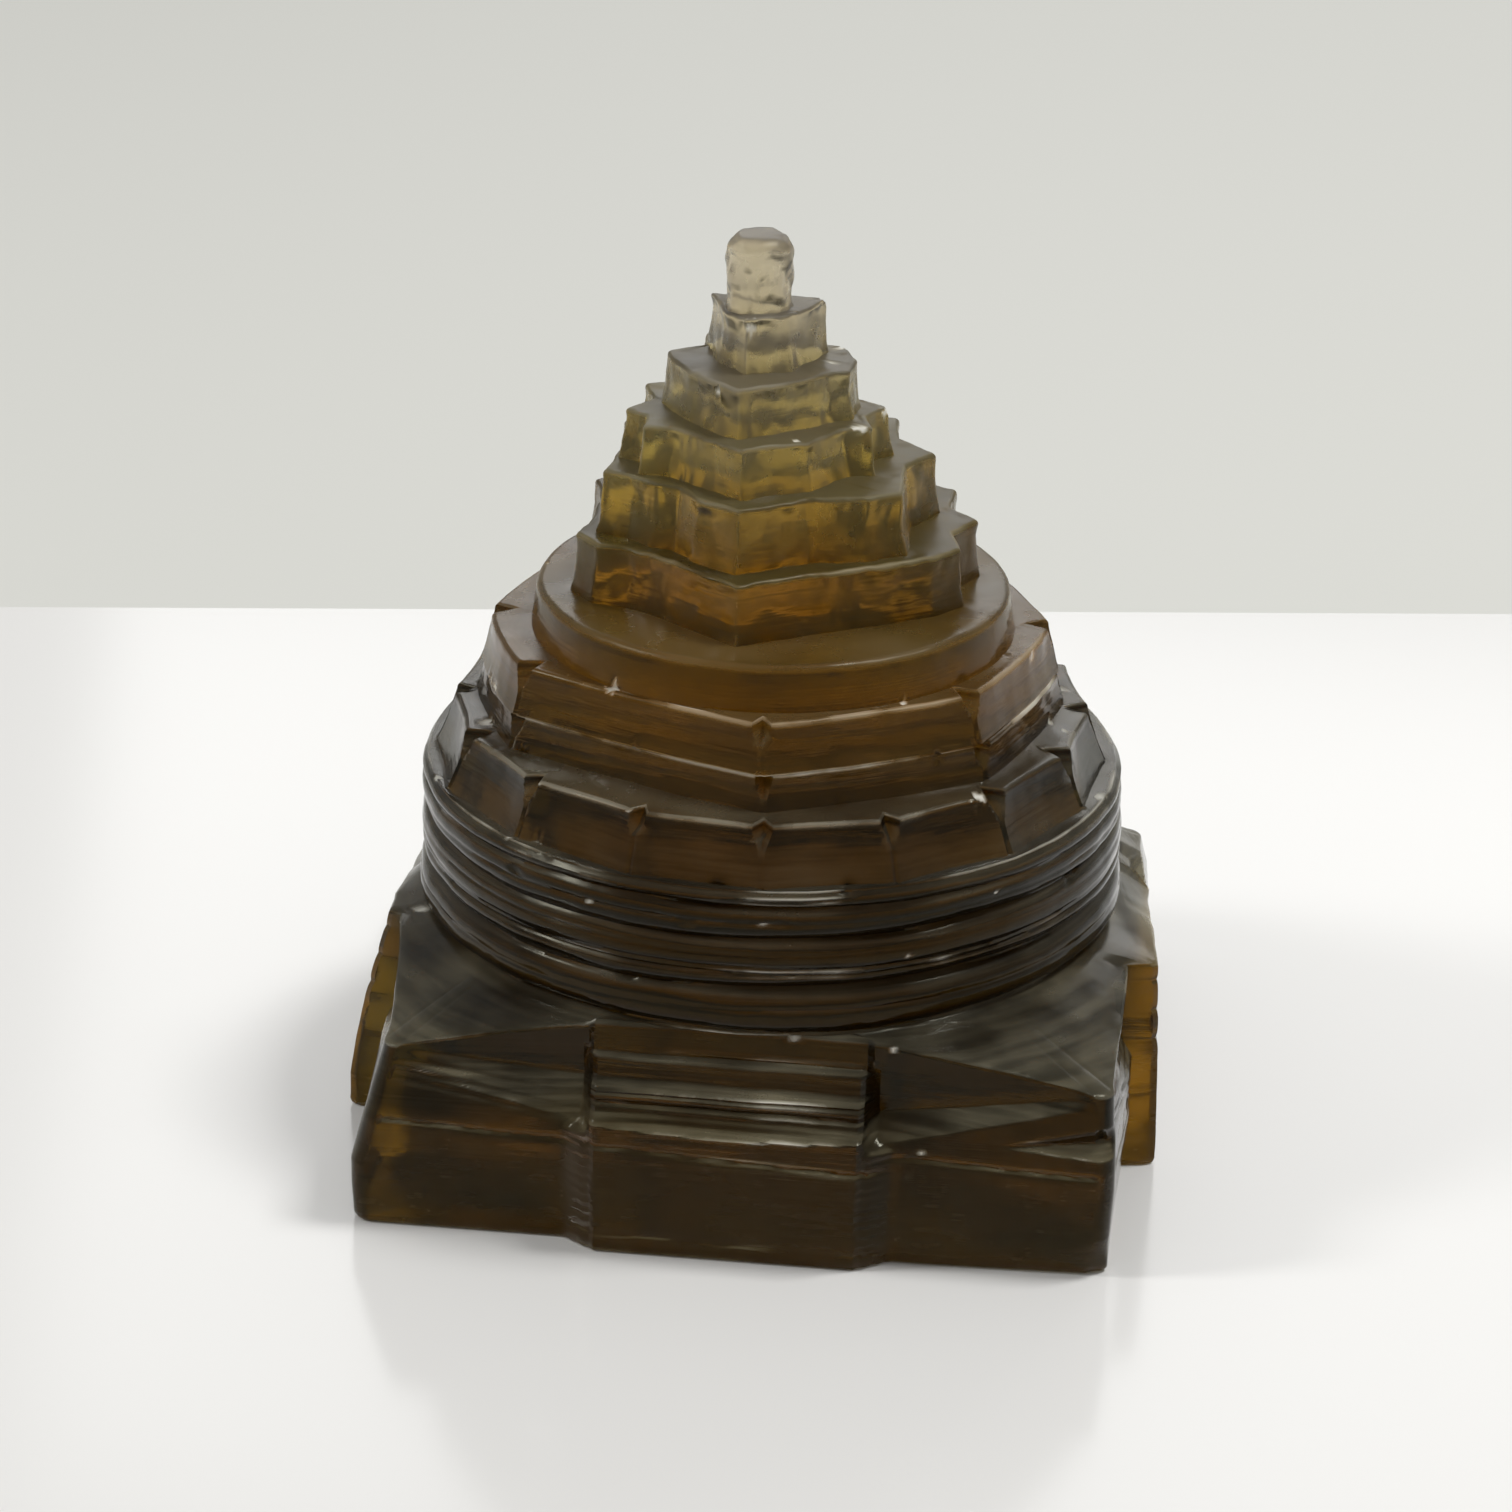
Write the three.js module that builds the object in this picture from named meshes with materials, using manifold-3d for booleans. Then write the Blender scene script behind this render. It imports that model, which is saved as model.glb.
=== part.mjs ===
// Meru shri yantra, hand cut from one block of smoky crystal.
// Millimetres, +Z up, the middle of the resting face at the origin, the front gate towards -Y.
// The stone is split into its carved members along the level planes where the wheel cut the steps.

import * as THREE from "three";
import { mergeVertices } from "three/addons/utils/BufferGeometryUtils.js";
import Module from "manifold-3d";

const wasm = await Module();
wasm.setup();

// Plinth (bhupura)
const plinthHalf = 52;
const plinthHeight = 32.6;
const plinthBand = 16;
const plinthLean = 2.2;
const plinthCorner = 2.6;
const plinthFall = 0.27;
const footChamfer = 0.8;

// Gates in the middle of each side. The front and back ones have curved steps above a plain band.
const gateHalf = 18.5;
const gateSeat = 8;
const gateBand = 19.5;
const gateSteps = 3;
const gateBevel = 0.7;
const frontGateReach = 3.2;

// The side gates stand out more, each by its own amount, and lean in with one soft curve.
const sideGateBand = 5;
const rightGate = { reach: 5.2, lean: 1.2 };
const leftGate = { reach: 7.2, lean: 6.6 };
const leanMiddle = 0.36;

// Wheel cuts that run from beside each gate out to the corner
const scoopRadius = 5.2;
const scoopLevel = 26;
const scoopDepth = 0.6;
const scoopStop = 2.5;

// Three rings round the lotus, a ledge inside the plinth, and how far their centre stands off the axis
const ringNames = ["ring_lower", "ring_middle", "ring_upper"];
const ringLedge = 2.4;
const ringRadius = plinthHalf - ringLedge;
const ringHeight = 6.9;
const ringRound = 1.5;
const ringShift = { x: -0.6, y: -1.2 };

// Lotus petals and triangle corners, each pattern turned from the front by some degrees
const lotus = { bulge: 0.12, steps: 4, turn: 5 };
const corners = { bulge: 0, steps: 1, turn: -7 };

// Tiers from the rings up. Each stands a ledge inside the tips or the notches of the one below it, and cut
// is the depth of its notches. Both are shares of the ring radius, so that the slope of the whole holds.
// Rise is a height, and x and y are how far the carver's centre for a tier wandered off the axis.
const tiers = [
  { name: "lotus_16_petals", on: "tip", ledge: 0.01, count: 16, cut: 0.03, rise: 8, x: -0.8, y: -2 },
  { name: "lotus_8_petals_step", on: "notch", ledge: 0.066, count: 8, cut: 0.066, rise: 5, x: -1.2, y: -0.8 },
  { name: "lotus_8_petals", on: "tip", ledge: 0.004, count: 8, cut: 0.066, rise: 7, x: -1.2, y: -1.2 },
  { name: "round_disc", on: "notch", ledge: 0.051, count: 0, cut: 0, rise: 6.3, x: -0.8, y: -2.6 },
  { name: "tier_14_corners", on: "tip", ledge: 0.073, count: 14, cut: 0.06, rise: 8.4, x: -1.4, y: -0.2 },
  { name: "outer_10_corners", on: "notch", ledge: 0.006, count: 10, cut: 0.08, rise: 9, x: -2.6, y: 0.3 },
  { name: "inner_10_corners", on: "notch", ledge: 0.021, count: 10, cut: 0.065, rise: 6.8, x: -4, y: -0.8 },
  { name: "tier_8_corners", on: "notch", ledge: 0.011, count: 8, cut: 0.065, rise: 6.9, x: -3.4, y: -0.6 },
  { name: "triangle_tier", on: "notch", ledge: 0.008, count: 3, cut: 0.062, rise: 7.7, x: -3.3, y: -0.2 },
];

// Bindu
const binduRadius = 4.7;
const binduHeight = 10.2;
const binduRound = 2.2;
const binduShift = { x: -4, y: -0.2 };

// The wheel left each wall leaning in and each upper edge blunt
const wallLean = 0.5;
const edgeBlunt = 0.5;

// Smoothness of round stretches
const roundSteps = 96;
const bandSteps = 6;
const scoopSteps = 24;
const coveSteps = 3;

// Colours that the stone shows, from its dark foot to its pale tip
const colours = {
  bhupura_plinth: 0x3c3022,
  gate_front: 0x33281c,
  gate_right: 0x5f4110,
  gate_back: 0x33281c,
  gate_left: 0x5a4b28,
  ring_lower: 0x2b2419,
  ring_middle: 0x2b2419,
  ring_upper: 0x2d251a,
  lotus_16_petals: 0x372d1e,
  lotus_8_petals_step: 0x46301a,
  lotus_8_petals: 0x4b3214,
  round_disc: 0x6b4418,
  tier_14_corners: 0x6d4a12,
  outer_10_corners: 0x705a28,
  inner_10_corners: 0x78692d,
  tier_8_corners: 0x7d693c,
  triangle_tier: 0x96825f,
  bindu: 0xb9af96,
};

// Outline of a tier: count tips on the tip radius, and between them notches as deep as depth.
function outline(count, tip, depth, pattern) {
  const points = [];
  const steps = pattern.steps;
  for (let corner = 0; corner < count * 2; corner++) {
    const from = corner % 2 === 0 ? tip : tip - depth;
    const to = corner % 2 === 0 ? tip - depth : tip;
    for (let step = 0; step < steps; step++) {
      const along = step / steps;
      const bulge = Math.sin(along * Math.PI) * depth * pattern.bulge;
      const radius = from + (to - from) * along + bulge;
      const angle = THREE.MathUtils.degToRad(pattern.turn - 90) + ((corner + along) / count) * Math.PI;
      points.push(new THREE.Vector2(Math.cos(angle) * radius, Math.sin(angle) * radius));
    }
  }
  return points;
}

// Closed solid through level outlines with the same number of points, listed from the foot up.
function loft(sections) {
  const count = sections[0].points.length;
  const positions = [];
  const faces = [];
  for (const { points, level } of sections) {
    for (const point of points) {
      positions.push(point.x, point.y, level);
    }
  }
  for (let row = 0; row + 1 < sections.length; row++) {
    for (let i = 0; i < count; i++) {
      const a = row * count + i;
      const b = row * count + ((i + 1) % count);
      faces.push(a, b, b + count, a, b + count, a + count);
    }
  }
  const last = (sections.length - 1) * count;
  for (const [a, b, c] of THREE.ShapeUtils.triangulateShape(sections[0].points, [])) {
    faces.push(a, c, b);
  }
  for (const [a, b, c] of THREE.ShapeUtils.triangulateShape(sections.at(-1).points, [])) {
    faces.push(last + a, last + b, last + c);
  }
  const geometry = new THREE.BufferGeometry();
  geometry.setAttribute("position", new THREE.Float32BufferAttribute(positions, 3));
  geometry.setIndex(faces);
  return geometry;
}

// One tier: a wall that leans in from its foot to a blunt upper edge.
function tier(count, foot, depth, height, level, pattern) {
  const at = (inset) => outline(count, foot - inset, depth, pattern);
  return loft([
    { points: at(0), level },
    { points: at(wallLean), level: level + height - edgeBlunt },
    { points: at(wallLean + edgeBlunt), level: level + height },
  ]);
}

// Lathe solid from a profile of [radius, level] pairs that starts and ends on the axis.
function turned(profile, steps = roundSteps) {
  const points = profile.map(([radius, level]) => new THREE.Vector2(radius, level));
  return new THREE.LatheGeometry(points, steps).rotateX(Math.PI / 2);
}

// One ring: a disc whose rim is a full soft round, with a groove above and below it.
function ring(radius, height, level) {
  const profile = [[0, level]];
  for (let step = 0; step <= bandSteps; step++) {
    const angle = (step / bandSteps - 0.5) * Math.PI;
    const rim = radius - ringRound * (1 - Math.cos(angle));
    profile.push([rim, level + (height / 2) * (1 + Math.sin(angle))]);
  }
  profile.push([0, level + height]);
  return turned(profile);
}

// Square outline with round corners
function roundedSquare(half, corner) {
  const points = [];
  for (let quarter = 0; quarter < 4; quarter++) {
    const middle = (quarter + 0.5) * (Math.PI / 2);
    const reach = half - corner;
    const centreX = Math.sign(Math.cos(middle)) * reach;
    const centreY = Math.sign(Math.sin(middle)) * reach;
    for (let step = 0; step <= bandSteps; step++) {
      const angle = (quarter + step / bandSteps) * (Math.PI / 2);
      points.push(new THREE.Vector2(centreX + Math.cos(angle) * corner, centreY + Math.sin(angle) * corner));
    }
  }
  return points;
}

// Prism from an outline, between two levels
function prism(points, low, high) {
  return loft([
    { points, level: low },
    { points, level: high },
  ]);
}

// Closed geometry to a solid for cutting, and back
function solid(geometry) {
  const bare = new THREE.BufferGeometry();
  bare.setAttribute("position", geometry.getAttribute("position"));
  bare.setIndex(geometry.index);
  const merged = mergeVertices(bare, 1e-4);
  return new wasm.Manifold(
    new wasm.Mesh({
      numProp: 3,
      vertProperties: new Float32Array(merged.attributes.position.array),
      triVerts: new Uint32Array(merged.index.array),
    }),
  );
}

function geometryOf(body) {
  const mesh = body.getMesh();
  const geometry = new THREE.BufferGeometry();
  geometry.setAttribute("position", new THREE.BufferAttribute(mesh.vertProperties, 3));
  geometry.setIndex(new THREE.BufferAttribute(mesh.triVerts, 1));
  return geometry;
}

// Turns a geometry made for the front side to another side, counted anticlockwise from the front.
function onSide(geometry, side) {
  return geometry.rotateZ((side * Math.PI) / 2);
}

// Room that a gate takes up in the plinth, as a block on the front side
function gateSlot() {
  const deep = plinthHalf - gateSeat;
  const wide = plinthHalf * 2;
  const points = [
    new THREE.Vector2(-gateHalf, -wide),
    new THREE.Vector2(gateHalf, -wide),
    new THREE.Vector2(gateHalf, -deep),
    new THREE.Vector2(-gateHalf, -deep),
  ];
  return prism(points, -plinthHeight, plinthHeight * 2);
}

// One wheel cut of the front side, from beside the gate out to the left or right corner
function scoop(hand) {
  const length = plinthHalf - scoopStop - gateHalf;
  const middle = gateHalf + length / 2;
  return new THREE.ConeGeometry(scoopRadius, length, scoopSteps)
    .rotateZ((-hand * Math.PI) / 2)
    .translate(hand * middle, -plinthHalf + scoopDepth, scoopLevel);
}

function plinth() {
  const reach = plinthHalf * 2;
  const topHalf = plinthHalf - plinthLean;
  const block = loft([
    { points: roundedSquare(plinthHalf - footChamfer, plinthCorner), level: 0 },
    { points: roundedSquare(plinthHalf, plinthCorner), level: footChamfer },
    { points: roundedSquare(plinthHalf, plinthCorner), level: plinthBand },
    { points: roundedSquare(topHalf, plinthCorner), level: plinthHeight },
  ]);
  const top = turned([
    [0, -plinthHeight],
    [reach, -plinthHeight],
    [reach, plinthHeight - (reach - ringRadius) * plinthFall],
    [ringRadius, plinthHeight],
    [0, plinthHeight],
  ]);
  let body = solid(block).intersect(solid(top));
  for (let side = 0; side < 4; side++) {
    body = body.subtract(solid(onSide(scoop(-1), side)));
    body = body.subtract(solid(onSide(scoop(1), side)));
    body = body.subtract(solid(onSide(gateSlot(), side)));
  }
  return geometryOf(body);
}

// Side view of a gate, from its seat in the plinth out: a plain band below and curved steps above it
function steppedProfile(reach) {
  const out = plinthHalf + reach;
  const run = (out - (plinthHalf - plinthLean)) / gateSteps;
  const rise = (plinthHeight - gateBand) / gateSteps;
  const shape = new THREE.Shape();
  shape.moveTo(plinthHalf - gateSeat, 0);
  shape.lineTo(out - footChamfer, 0);
  shape.lineTo(out, footChamfer);
  shape.lineTo(out, gateBand);
  for (let step = 0; step < gateSteps; step++) {
    const edge = out - step * run;
    const foot = gateBand + step * rise;
    shape.quadraticCurveTo(edge - run, foot, edge - run, foot + rise);
  }
  shape.lineTo(plinthHalf - gateSeat, plinthHeight);
  return shape.getPoints(coveSteps);
}

// Side view of a side gate: one soft curve from the foot in to the upper edge
function leaningProfile(reach, lean) {
  const out = plinthHalf + reach;
  const middle = (sideGateBand + plinthHeight) / 2;
  const shape = new THREE.Shape();
  shape.moveTo(plinthHalf - gateSeat, 0);
  shape.lineTo(out - footChamfer, 0);
  shape.lineTo(out, footChamfer);
  shape.lineTo(out, sideGateBand);
  shape.quadraticCurveTo(out - lean * leanMiddle, middle, out - lean, plinthHeight);
  shape.lineTo(plinthHalf - gateSeat, plinthHeight);
  return shape.getPoints(coveSteps * 2);
}

function gate(reach, profile, side) {
  const out = plinthHalf + reach;
  const root = plinthHalf - gateSeat;
  const plan = [
    new THREE.Vector2(-gateHalf, -root),
    new THREE.Vector2(-gateHalf, gateBevel - out),
    new THREE.Vector2(gateBevel - gateHalf, -out),
    new THREE.Vector2(gateHalf - gateBevel, -out),
    new THREE.Vector2(gateHalf, gateBevel - out),
    new THREE.Vector2(gateHalf, -root),
  ];
  const block = prism(plan, 0, plinthHeight);
  const sideView = prism(profile, -gateHalf * 2, gateHalf * 2)
    .rotateX(Math.PI / 2)
    .rotateZ(-Math.PI / 2);
  const body = solid(block).intersect(solid(sideView));
  return onSide(geometryOf(body), side);
}

// Round disc with the same leaning wall and blunt edge as the tiers
function disc(radius, height, level) {
  return turned([
    [0, level],
    [radius, level],
    [radius - wallLean, level + height - edgeBlunt],
    [radius - wallLean - edgeBlunt, level + height],
    [0, level + height],
  ]);
}

// Round knob with a soft top
function bindu(level) {
  const profile = [[0, level]];
  profile.push([binduRadius, level]);
  for (let step = 0; step <= bandSteps; step++) {
    const angle = (step / bandSteps) * (Math.PI / 2);
    profile.push([
      binduRadius - binduRound * (1 - Math.cos(angle)),
      level + binduHeight - binduRound * (1 - Math.sin(angle)),
    ]);
  }
  profile.push([0, level + binduHeight]);
  return turned(profile, roundSteps / 3);
}

const yantra = new THREE.Group();

// Adds one named member, moved to its own centre.
function member(name, geometry, { x, y } = { x: 0, y: 0 }) {
  const material = new THREE.MeshStandardMaterial({ color: colours[name], roughness: 0.15, metalness: 0 });
  const mesh = new THREE.Mesh(geometry, material);
  mesh.name = name;
  mesh.position.set(x, y, 0);
  yantra.add(mesh);
}

member("bhupura_plinth", plinth());
member("gate_front", gate(frontGateReach, steppedProfile(frontGateReach), 0));
member("gate_right", gate(rightGate.reach, leaningProfile(rightGate.reach, rightGate.lean), 1));
member("gate_back", gate(frontGateReach, steppedProfile(frontGateReach), 2));
member("gate_left", gate(leftGate.reach, leaningProfile(leftGate.reach, leftGate.lean), 3));

let level = plinthHeight;
for (const name of ringNames) {
  member(name, ring(ringRadius, ringHeight, level), ringShift);
  level += ringHeight;
}

// Each tier is measured from the upper edge of the one below it.
let below = { tip: ringRadius - ringRound, notch: ringRadius - ringRound };
for (const { name, on, ledge, count, cut, rise, x, y } of tiers) {
  const foot = below[on] - ledge * ringRadius;
  const depth = cut * ringRadius;
  const pattern = name.startsWith("lotus") ? lotus : corners;
  const body = count ? tier(count, foot, depth, rise, level, pattern) : disc(foot, rise, level);
  member(name, body, { x, y });
  const tip = foot - wallLean - edgeBlunt;
  below = { tip, notch: tip - depth };
  level += rise;
}
member("bindu", bindu(level), binduShift);

export default yantra;
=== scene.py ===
import math

import bpy
import numpy as np
from mathutils import Matrix, Vector, noise


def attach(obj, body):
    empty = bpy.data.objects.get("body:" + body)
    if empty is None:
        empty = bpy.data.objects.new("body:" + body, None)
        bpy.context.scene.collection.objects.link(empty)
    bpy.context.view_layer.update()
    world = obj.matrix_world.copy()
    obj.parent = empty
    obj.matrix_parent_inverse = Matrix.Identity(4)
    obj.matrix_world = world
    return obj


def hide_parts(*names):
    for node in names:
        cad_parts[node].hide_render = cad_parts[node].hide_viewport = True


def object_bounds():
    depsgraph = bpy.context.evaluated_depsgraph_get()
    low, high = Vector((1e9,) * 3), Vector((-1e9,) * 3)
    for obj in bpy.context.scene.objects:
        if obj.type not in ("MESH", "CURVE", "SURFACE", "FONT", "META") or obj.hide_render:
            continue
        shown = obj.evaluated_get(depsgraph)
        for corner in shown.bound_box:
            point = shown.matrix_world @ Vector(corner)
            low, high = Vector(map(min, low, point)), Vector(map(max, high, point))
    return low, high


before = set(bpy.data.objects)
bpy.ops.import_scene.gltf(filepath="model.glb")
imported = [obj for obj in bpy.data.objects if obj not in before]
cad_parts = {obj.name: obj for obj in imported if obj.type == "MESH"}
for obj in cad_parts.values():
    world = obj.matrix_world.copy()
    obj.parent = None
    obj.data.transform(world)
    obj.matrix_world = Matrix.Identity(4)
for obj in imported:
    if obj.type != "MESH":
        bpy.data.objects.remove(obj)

cad_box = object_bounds()

# The stone is written in millimetres and degrees, and turned to metres when its mesh is made.
MM = 0.001

# Fixed seeds, so that every run carves the same stone
rng = np.random.default_rng(11)
noise.seed_set(7)

# Every level row of the mesh has this many points. Each side takes a quarter, shared out along it.
COLUMNS = 480
SIDE_COLUMNS = COLUMNS // 4
CORNER_COLUMNS = 10
WING_COLUMNS = 37

# Plinth and gates, as in the solids
HALF = 52.0
PLINTH_TOP = 32.6
BAND = 16.0
LEAN = 2.2
CORNER = 2.6
FALL = 0.27
FOOT_CHAMFER = 0.8
GATE_HALF = 18.5
GATE_BAND = 19.5
GATE_BEVEL = 0.7
GATE_STEPS = 3
FRONT, RIGHT, BACK, LEFT = range(4)
REACH = {FRONT: 3.2, RIGHT: 5.2, BACK: 3.2, LEFT: 7.2}
SIDE_LEAN = {RIGHT: 1.2, LEFT: 6.6}
SIDE_BAND = 5.0
SCOOP_STOP = 2.5

# Rings and bindu, as in the solids
RING_RADIUS = HALF - 2.4
RING_ROUND = 1.5
RING_TOP = 53.3
RING_SHIFT = (-0.6, -1.2)
BINDU = dict(radius=4.7, rise=10.2, round=2.2, x=-4.0, y=-0.2)

# The plinth's upper face is level out to here, and falls beyond. At a corner its edge lies a little lower.
FALL_START = RING_RADIUS + 0.6
CORNER_DROP = 0.6 * FALL

# A gate reaches at least this far into the plinth. Columns up to here belong to it, on the wall and on the
# upper face, where the edge is pulled in.
GATE_SEAT = 8.0
GATE_EDGE = GATE_HALF + 0.01
GATE_TOP_EDGE = GATE_HALF + 0.3

# Above a level the left wall leans in towards the front, and a little out elsewhere. It swells a little over
# its foot.
LEFT_WALL = dict(lean_per_mm=0.14, lean_at_middle=-2.5, least=-0.8, most=4.6, level=9.0, height=17.0,
                 swell=0.3, swell_level=6.0)
# The right wall swells over its foot, less near its ends. It leans in a little at the front, and far more at
# the back.
RIGHT_WALL = dict(lean_per_mm=-0.024, least=-0.6, most=1.2, far_lean=4.8, far=(16.0, 46.0),
                  swell=1.3, swell_level=14.0, swell_ends=(60.0, 30.0))

# The upper edge falls this far to the back corners, along the back wall and the side walls.
FAR_DROP = 6.0
BACK_DROP = (24.0, HALF - CORNER)
SIDE_DROP = (GATE_HALF - 14.0, GATE_HALF + 14.0)

# The top of a side gate is lower than the plinth's, and falls further to its back.
GATE_TOP_LOWER = 0.9
GATE_TOP_FALL = 5.6
GATE_DROP = (-16.0, GATE_HALF + 6.0)

# Each wheel cut beside a gate: level of its floor at the gate, how far that rises to the corner, depth, lip
SCOOPS = {-1: (23.2, 3.4, 3.4, 5.6), 1: (20.4, 6.0, 3.8, 2.8)}
# Its roof over the plinth top at the gate and the fall of that to the corner, how its depth tapers, and the
# share of the lip that is left at the corner
SCOOP_ROOF = 0.8
SCOOP_ROOF_FALL = 4.2
SCOOP_TAPER = 0.8
LIP_LEFT = 0.4

# Wheel marks at the right end of the front and back: a shallow V, which rounds the corner by a share of its
# depth, and a slanted facet at the foot
VEE = dict(start=37.0, length=14.0, level=18.8, climb=1.3, narrow=0.15, widen=2.1, depth=1.5)
VEE_ROUNDING = 0.6
FOOT_FACET = dict(start=25.0, slope=0.21, depth=0.2)

# Wheel line along the top of the band, and slanted lines to the left of a gate as level and depth
BAND_LINE = dict(below=0.3, sway=0.5, rate=0.09, depth=0.4, width=0.35)
SLANTED_LINES = ((20.6, 0.25), (19.2, 0.35), (18.0, 0.2))
SLANT = dict(slope=0.13, sway=0.3, rate=0.11, width=0.4)
LINE_FADE = 3.0

# Engraved lines of a front or back gate: level, slope, depth, width
GATE_LINES = (
    (28.4, -0.01, 0.7, 0.3), (23.5, 0.0, 0.5, 0.25), (21.9, -0.01, 0.6, 0.25), (15.4, -0.045, 0.5, 0.3),
    (2.6, -0.02, 0.3, 0.3),
)
# Sag of its steps, gone at the first level and full at the second, and the ripple of the wheel on them
GATE_SAG = 0.9
SAG_FADE = (25.0, 20.0)
RIPPLE = dict(depth=0.05, per_level=4.3, per_mm=0.05)

# A side gate: faint steps as level, depth and width, the share of its lean that bulges in, and the turn of
# the right one to the back
SIDE_STEPS = ((20.0, 0.35, 0.6), (24.5, 0.3, 0.5), (29.0, 0.3, 0.5))
LEAN_BULGE = 0.72
RIGHT_GATE_TURN = 0.09

# Flank between a gate and the wall: narrow on the side gates, wider on the others and wider still below
# these levels, with thin lines at shares of its width
SIDE_FLANK = 0.3
FLANK = 1.4
FLANK_BELOW = 3.4
FLANK_CHANGE = (18.8, 16.8)
FLANK_LINES = (0.35, 0.75)
FLANK_LINE = dict(depth=0.3, width=0.35, fade=(18.0, 16.0))

# Walls are drawn out to meet the neighbouring ones from here to the corner.
WING_START = 20.0

# Grooves between and on the rings: level, depth, width
RING_GROOVES = (
    (32.9, 1.5, 0.7), (36.2, 0.18, 0.3), (39.1, 1.7, 0.9), (41.6, 0.5, 0.35), (42.5, 0.35, 0.3),
    (44.6, 0.16, 0.25), (46.5, 1.3, 0.75), (48.7, 0.25, 0.3), (50.9, 0.9, 0.5), (52.2, 0.2, 0.25),
)
# The rings' radius over that of the solids' rings at the foot, how much it shrinks per mm of height, how
# much of it goes in the last stretch, and how the grooves waver in level and depth
RINGS = dict(over=0.75, shrink=0.035, edge=0.9, edge_height=1.2, sway=(0.2, 0.1), uneven=0.35, rows=72)

# Tiers, as in the solids. Ledge and cut are shares of the ring radius. A tier's tips are its own corners
# where the carver missed the even spacing, and front is the outline seen from the front, as angle and share
# of the foot radius. The rest of each tier keeps its even pattern.
WALL_INSET = 1.0
TURN = {"lotus": 5.0, "corners": -7.0, "round": 0.0}
OCTAGON = (5, 52, 95, 140, 185, 230, 275, 308)
TIERS = [
    dict(kind="lotus", on="tip", ledge=0.01, count=16, cut=0.03, rise=8.0, x=-0.8, y=-2.0,
         lean=2.5, edge=0.9, bulge=-0.3),
    dict(kind="lotus", on="notch", ledge=0.066, count=8, cut=0.066, rise=5.0, x=-1.2, y=-0.8,
         lean=0.6, edge=0.6, tips=OCTAGON, bulge=0.7),
    dict(kind="lotus", on="tip", ledge=0.004, count=8, cut=0.066, rise=7.0, x=-1.2, y=-1.2,
         lean=1.0, edge=0.9, tips=OCTAGON, bulge=0.8),
    dict(kind="round", on="notch", ledge=0.051, count=0, cut=0.0, rise=6.3, x=-0.8, y=-2.6,
         lean=0.8, edge=1.2),
    dict(kind="corners", on="tip", ledge=0.073, count=14, cut=0.06, rise=8.4, x=-1.4, y=-0.2,
         lean=0.7, edge=0.8,
         front=((-76, 0.9), (-66, 1.0), (-55, 0.97), (-46, 0.86), (-38, 0.83), (-26, 0.84), (-3, 1.0),
                (14, 0.86), (40, 0.84), (60, 0.94), (72, 1.0), (84, 0.9))),
    dict(kind="corners", on="notch", ledge=0.006, count=10, cut=0.08, rise=9.0, x=-2.6, y=0.3,
         lean=0.8, edge=0.8,
         front=((-74, 0.9), (-62, 1.0), (-52, 0.89), (-41, 0.85), (-31, 0.8), (-19, 0.89), (-2, 1.0),
                (24, 0.82), (44, 0.93), (57, 1.0), (72, 0.88))),
    dict(kind="corners", on="notch", ledge=0.021, count=10, cut=0.065, rise=6.8, x=-4.0, y=-0.8,
         lean=0.7, edge=0.7,
         front=((-68, 0.86), (-54, 0.97), (-43, 0.82), (-31, 0.81), (1, 1.0), (15, 0.88), (34, 0.88),
                (62, 0.82), (71, 0.98), (86, 0.85))),
    dict(kind="corners", on="notch", ledge=0.011, count=8, cut=0.065, rise=6.9, x=-3.4, y=-0.6,
         lean=0.6, edge=0.7,
         front=((-88, 0.96), (-58, 0.84), (-28, 0.87), (-6, 1.0), (18, 0.8), (54, 0.78), (66, 0.8),
                (77, 0.95), (100, 0.98))),
    dict(kind="corners", on="notch", ledge=0.008, count=3, cut=0.062, rise=7.7, x=-3.3, y=-0.2,
         lean=0.5, edge=0.6,
         front=((-122, 1.03), (-65, 0.69), (-11, 0.82), (45, 0.67), (118, 1.05), (176, 0.67))),
]
# The even pattern starts this many degrees beyond the front outline.
FRONT_MARGIN = 8

# How far hand cutting leaves a corner astray, on the wide tiers and on the narrow ones
STRAY_WIDE = 0.22
STRAY_NARROW = 0.3
WIDE_FOOT = 30.0

# The rows of a tier's wall as shares of its height, and how far the wall is hollow at half height
WALL_SHARES = (0, 0.04, 0.2, 0.35, 0.5, 0.65, 0.8, 0.92)
WALL_HOLLOW = 0.3

# Corners are soft over this length, and longer by a share of the nick in a petal's tip. The nick has a depth
# at the foot and grows within the last heights below the top. Tips round at the sides have deeper ones.
SOFT = 0.35
SOFT_BY_NICK = 0.45
NICK = 0.3
NICK_MORE = 2.0
NICK_HEIGHTS = (3.8, 0.4)
SIDE_NICK = 0.5
SIDE_PETALS = (35, 60)

# Sag of the ledges of the tiers and of the one under the bindu
LEDGE_DISH = 0.12
TOP_DISH = 0.05

# Chips: how many, the levels of the edges that they come from, how far off a level they lie, and the ranges
# of their sizes and depths. They are flatter than wide, and pull the edge down by a share of their depth.
CHIPS = 130
CHIP_LEVELS = (18, 31.5, 39.5, 42.5, 46.8, 49, 53, 53, 60.5, 60.8, 66, 73, 79.5, 88, 96.8, 103, 110, 118)
CHIP_SIZE = (0.35, 1.1)
CHIP_DEPTH = (0.12, 0.4)
CHIP_BAND = 0.8
CHIP_FLATNESS = 1.4
CHIP_DROP = 0.5
CHIP_RAGGED = dict(rate=1.7, share=0.9)

# Waves of the polish as rate and height, and rough ones as rate and share of a height. That height grows
# from level to level by these steps. Waves are flatter than wide, and there are none at the foot.
WAVES = ((0.11, 0.18), (0.3, 0.07))
ROUGH = ((0.35, 1.0), (0.8, 0.4))
ROUGHER = ((78, 83, 0.26), (116, 119, 0.14))
WAVE_FLATNESS = 0.6
FLAT_BELOW = 0.9

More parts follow.
